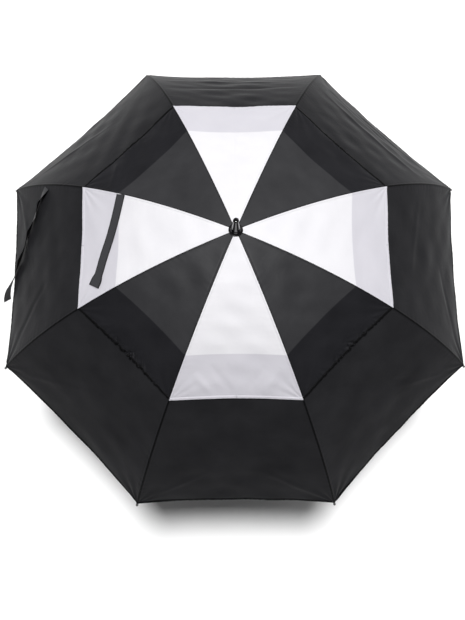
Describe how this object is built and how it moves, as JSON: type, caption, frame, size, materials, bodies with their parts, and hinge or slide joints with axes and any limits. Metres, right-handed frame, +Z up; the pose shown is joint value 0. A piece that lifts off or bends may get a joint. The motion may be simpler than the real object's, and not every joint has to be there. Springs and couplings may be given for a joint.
{
  "type": "golf umbrella",
  "caption": "Open golf umbrella with a vented double canopy, straight handle, ferrule and tie straps; the runner slides down to fold the ribs.",
  "frame": {"origin": "centre of the handle's bottom end, on the shaft's axis", "axes": "+Z up the shaft to the ferrule; +X through the middle of a white gore"},
  "size_m": [1.218, 1.1844, 0.9857],
  "materials": {
    "shaft_fibreglass": "satin black fibreglass tube",
    "handle_foam": "matt black foam rubber",
    "ferrule_plastic": "gloss black",
    "cap_plastic": "gloss black",
    "crown_nylon": "moulded black nylon",
    "wire": "bright drawn wire",
    "runner_nylon": "moulded black nylon",
    "catch_steel": "sprung strip steel",
    "rib_fibreglass": "black fibreglass rod with crimped fittings",
    "stretcher_fibreglass": "black fibreglass rod with crimped ends",
    "tip_plastic": "gloss black",
    "canopy_white": "white pongee polyester",
    "canopy_black": "black pongee polyester",
    "strap_black": "black hook and loop tie strap"
  },
  "bodies": {
    "shaft": {"shaft": "shaft_fibreglass", "handle": "handle_foam", "ferrule": "ferrule_plastic", "top_cap": "cap_plastic", "crown_notch": "crown_nylon", "crown_ring": "wire"},
    "runner": {"runner": "runner_nylon", "runner_ring": "wire"},
    "top_catch": {"top_catch": "catch_steel"},
    "bottom_catch": {"bottom_catch": "catch_steel"},
    "rib_inner_1": {"rib_inner_1": "rib_fibreglass", "upper_gore_1": "canopy_white"},
    "rib_outer_1": {"rib_outer_1": "rib_fibreglass", "rib_tip_1": "tip_plastic", "lower_gore_1": "canopy_black"},
    "stretcher_1": {"stretcher_1": "stretcher_fibreglass"},
    "rib_inner_2": {"rib_inner_2": "rib_fibreglass", "upper_gore_2": "canopy_black"},
    "rib_outer_2": {"rib_outer_2": "rib_fibreglass", "rib_tip_2": "tip_plastic", "lower_gore_2": "canopy_black"},
    "stretcher_2": {"stretcher_2": "stretcher_fibreglass"},
    "rib_inner_3": {"rib_inner_3": "rib_fibreglass", "upper_gore_3": "canopy_white"},
    "rib_outer_3": {"rib_outer_3": "rib_fibreglass", "rib_tip_3": "tip_plastic", "lower_gore_3": "canopy_black"},
    "stretcher_3": {"stretcher_3": "stretcher_fibreglass"},
    "rib_inner_4": {"rib_inner_4": "rib_fibreglass", "upper_gore_4": "canopy_black"},
    "rib_outer_4": {"rib_outer_4": "rib_fibreglass", "rib_tip_4": "tip_plastic", "lower_gore_4": "canopy_black"},
    "stretcher_4": {"stretcher_4": "stretcher_fibreglass"},
    "rib_inner_5": {"rib_inner_5": "rib_fibreglass", "upper_gore_5": "canopy_white", "upper_tie_strap": "strap_black"},
    "rib_outer_5": {"rib_outer_5": "rib_fibreglass", "rib_tip_5": "tip_plastic", "lower_gore_5": "canopy_black", "lower_tie_strap": "strap_black"},
    "stretcher_5": {"stretcher_5": "stretcher_fibreglass"},
    "rib_inner_6": {"rib_inner_6": "rib_fibreglass", "upper_gore_6": "canopy_black"},
    "rib_outer_6": {"rib_outer_6": "rib_fibreglass", "rib_tip_6": "tip_plastic", "lower_gore_6": "canopy_black"},
    "stretcher_6": {"stretcher_6": "stretcher_fibreglass"},
    "rib_inner_7": {"rib_inner_7": "rib_fibreglass", "upper_gore_7": "canopy_white"},
    "rib_outer_7": {"rib_outer_7": "rib_fibreglass", "rib_tip_7": "tip_plastic", "lower_gore_7": "canopy_black"},
    "stretcher_7": {"stretcher_7": "stretcher_fibreglass"},
    "rib_inner_8": {"rib_inner_8": "rib_fibreglass", "upper_gore_8": "canopy_black"},
    "rib_outer_8": {"rib_outer_8": "rib_fibreglass", "rib_tip_8": "tip_plastic", "lower_gore_8": "canopy_black"},
    "stretcher_8": {"stretcher_8": "stretcher_fibreglass"}
  },
  "joints": [
    {"name": "runner_slide", "type": "slide", "parent": "shaft", "child": "runner", "axis": [0, 0, -1], "range_m": [0, 0.44705]},
    {"name": "top_catch_press", "type": "slide", "parent": "shaft", "child": "top_catch", "axis": [-1, 0, 0], "range_m": [0, 0.0024], "stiffness_N_per_m": 900},
    {"name": "bottom_catch_press", "type": "slide", "parent": "shaft", "child": "bottom_catch", "axis": [-1, 0, 0], "range_m": [0, 0.0024], "stiffness_N_per_m": 900},
    {"name": "rib_1_swing", "type": "hinge", "parent": "shaft", "child": "rib_inner_1", "pos_m": [0.0097, -0.00402, 0.91793], "axis": [0.3827, 0.9239, 0], "range_deg": [0, 73.97], "deforming": ["upper_gore_1"]},
    {"name": "rib_1_straighten", "type": "hinge", "parent": "rib_inner_1", "child": "rib_outer_1", "pos_m": [0.31181, -0.12916, 0.83801], "axis": [0.3827, 0.9239, 0], "range_deg": [-25.85, 0], "deforming": ["lower_gore_1"]},
    {"name": "stretcher_1_swing", "type": "hinge", "parent": "rib_inner_1", "child": "stretcher_1", "pos_m": [0.30932, -0.12812, 0.83265], "axis": [0.3827, 0.9239, 0], "range_deg": [-135.58, 0]},
    {"name": "rib_2_swing", "type": "hinge", "parent": "shaft", "child": "rib_inner_2", "pos_m": [0.0097, 0.00402, 0.91793], "axis": [-0.3827, 0.9239, 0], "range_deg": [0, 73.97], "deforming": ["upper_gore_2"]},
    {"name": "rib_2_straighten", "type": "hinge", "parent": "rib_inner_2", "child": "rib_outer_2", "pos_m": [0.31181, 0.12916, 0.83801], "axis": [-0.3827, 0.9239, 0], "range_deg": [-25.85, 0], "deforming": ["lower_gore_2"]},
    {"name": "stretcher_2_swing", "type": "hinge", "parent": "rib_inner_2", "child": "stretcher_2", "pos_m": [0.30932, 0.12812, 0.83265], "axis": [-0.3827, 0.9239, 0], "range_deg": [-135.58, 0]},
    {"name": "rib_3_swing", "type": "hinge", "parent": "shaft", "child": "rib_inner_3", "pos_m": [0.00402, 0.0097, 0.91793], "axis": [-0.9239, 0.3827, 0], "range_deg": [0, 73.97], "deforming": ["upper_gore_3"]},
    {"name": "rib_3_straighten", "type": "hinge", "parent": "rib_inner_3", "child": "rib_outer_3", "pos_m": [0.12916, 0.31181, 0.83801], "axis": [-0.9239, 0.3827, 0], "range_deg": [-25.85, 0], "deforming": ["lower_gore_3"]},
    {"name": "stretcher_3_swing", "type": "hinge", "parent": "rib_inner_3", "child": "stretcher_3", "pos_m": [0.12812, 0.30932, 0.83265], "axis": [-0.9239, 0.3827, 0], "range_deg": [-135.58, 0]},
    {"name": "rib_4_swing", "type": "hinge", "parent": "shaft", "child": "rib_inner_4", "pos_m": [-0.00402, 0.0097, 0.91793], "axis": [-0.9239, -0.3827, 0], "range_deg": [0, 73.97], "deforming": ["upper_gore_4"]},
    {"name": "rib_4_straighten", "type": "hinge", "parent": "rib_inner_4", "child": "rib_outer_4", "pos_m": [-0.12916, 0.31181, 0.83801], "axis": [-0.9239, -0.3827, 0], "range_deg": [-25.85, 0], "deforming": ["lower_gore_4"]},
    {"name": "stretcher_4_swing", "type": "hinge", "parent": "rib_inner_4", "child": "stretcher_4", "pos_m": [-0.12812, 0.30932, 0.83265], "axis": [-0.9239, -0.3827, 0], "range_deg": [-135.58, 0]},
    {"name": "rib_5_swing", "type": "hinge", "parent": "shaft", "child": "rib_inner_5", "pos_m": [-0.0097, 0.00402, 0.91793], "axis": [-0.3827, -0.9239, 0], "range_deg": [0, 73.97], "deforming": ["upper_gore_5", "upper_tie_strap"]},
    {"name": "rib_5_straighten", "type": "hinge", "parent": "rib_inner_5", "child": "rib_outer_5", "pos_m": [-0.31181, 0.12916, 0.83801], "axis": [-0.3827, -0.9239, 0], "range_deg": [-25.85, 0], "deforming": ["lower_gore_5", "lower_tie_strap"]},
    {"name": "stretcher_5_swing", "type": "hinge", "parent": "rib_inner_5", "child": "stretcher_5", "pos_m": [-0.30932, 0.12812, 0.83265], "axis": [-0.3827, -0.9239, 0], "range_deg": [-135.58, 0]},
    {"name": "rib_6_swing", "type": "hinge", "parent": "shaft", "child": "rib_inner_6", "pos_m": [-0.0097, -0.00402, 0.91793], "axis": [0.3827, -0.9239, 0], "range_deg": [0, 73.97], "deforming": ["upper_gore_6"]},
    {"name": "rib_6_straighten", "type": "hinge", "parent": "rib_inner_6", "child": "rib_outer_6", "pos_m": [-0.31181, -0.12916, 0.83801], "axis": [0.3827, -0.9239, 0], "range_deg": [-25.85, 0], "deforming": ["lower_gore_6"]},
    {"name": "stretcher_6_swing", "type": "hinge", "parent": "rib_inner_6", "child": "stretcher_6", "pos_m": [-0.30932, -0.12812, 0.83265], "axis": [0.3827, -0.9239, 0], "range_deg": [-135.58, 0]},
    {"name": "rib_7_swing", "type": "hinge", "parent": "shaft", "child": "rib_inner_7", "pos_m": [-0.00402, -0.0097, 0.91793], "axis": [0.9239, -0.3827, 0], "range_deg": [0, 73.97], "deforming": ["upper_gore_7"]},
    {"name": "rib_7_straighten", "type": "hinge", "parent": "rib_inner_7", "child": "rib_outer_7", "pos_m": [-0.12916, -0.31181, 0.83801], "axis": [0.9239, -0.3827, 0], "range_deg": [-25.85, 0], "deforming": ["lower_gore_7"]},
    {"name": "stretcher_7_swing", "type": "hinge", "parent": "rib_inner_7", "child": "stretcher_7", "pos_m": [-0.12812, -0.30932, 0.83265], "axis": [0.9239, -0.3827, 0], "range_deg": [-135.58, 0]},
    {"name": "rib_8_swing", "type": "hinge", "parent": "shaft", "child": "rib_inner_8", "pos_m": [0.00402, -0.0097, 0.91793], "axis": [0.9239, 0.3827, 0], "range_deg": [0, 73.97], "deforming": ["upper_gore_8"]},
    {"name": "rib_8_straighten", "type": "hinge", "parent": "rib_inner_8", "child": "rib_outer_8", "pos_m": [0.12916, -0.31181, 0.83801], "axis": [0.9239, 0.3827, 0], "range_deg": [-25.85, 0], "deforming": ["lower_gore_8"]},
    {"name": "stretcher_8_swing", "type": "hinge", "parent": "rib_inner_8", "child": "stretcher_8", "pos_m": [0.12812, -0.30932, 0.83265], "axis": [0.9239, 0.3827, 0], "range_deg": [-135.58, 0]}
  ],
  "couplings": [
    {"joint": "rib_1_swing", "follows": "runner_slide", "rad_per_m": 2.8878},
    {"joint": "rib_1_straighten", "follows": "runner_slide", "rad_per_m": -1.0091},
    {"joint": "stretcher_1_swing", "follows": "runner_slide", "rad_per_m": -5.2933},
    {"joint": "rib_2_swing", "follows": "runner_slide", "rad_per_m": 2.8878},
    {"joint": "rib_2_straighten", "follows": "runner_slide", "rad_per_m": -1.0091},
    {"joint": "stretcher_2_swing", "follows": "runner_slide", "rad_per_m": -5.2933},
    {"joint": "rib_3_swing", "follows": "runner_slide", "rad_per_m": 2.8878},
    {"joint": "rib_3_straighten", "follows": "runner_slide", "rad_per_m": -1.0091},
    {"joint": "stretcher_3_swing", "follows": "runner_slide", "rad_per_m": -5.2933},
    {"joint": "rib_4_swing", "follows": "runner_slide", "rad_per_m": 2.8878},
    {"joint": "rib_4_straighten", "follows": "runner_slide", "rad_per_m": -1.0091},
    {"joint": "stretcher_4_swing", "follows": "runner_slide", "rad_per_m": -5.2933},
    {"joint": "rib_5_swing", "follows": "runner_slide", "rad_per_m": 2.8878},
    {"joint": "rib_5_straighten", "follows": "runner_slide", "rad_per_m": -1.0091},
    {"joint": "stretcher_5_swing", "follows": "runner_slide", "rad_per_m": -5.2933},
    {"joint": "rib_6_swing", "follows": "runner_slide", "rad_per_m": 2.8878},
    {"joint": "rib_6_straighten", "follows": "runner_slide", "rad_per_m": -1.0091},
    {"joint": "stretcher_6_swing", "follows": "runner_slide", "rad_per_m": -5.2933},
    {"joint": "rib_7_swing", "follows": "runner_slide", "rad_per_m": 2.8878},
    {"joint": "rib_7_straighten", "follows": "runner_slide", "rad_per_m": -1.0091},
    {"joint": "stretcher_7_swing", "follows": "runner_slide", "rad_per_m": -5.2933},
    {"joint": "rib_8_swing", "follows": "runner_slide", "rad_per_m": 2.8878},
    {"joint": "rib_8_straighten", "follows": "runner_slide", "rad_per_m": -1.0091},
    {"joint": "stretcher_8_swing", "follows": "runner_slide", "rad_per_m": -5.2933}
  ]
}
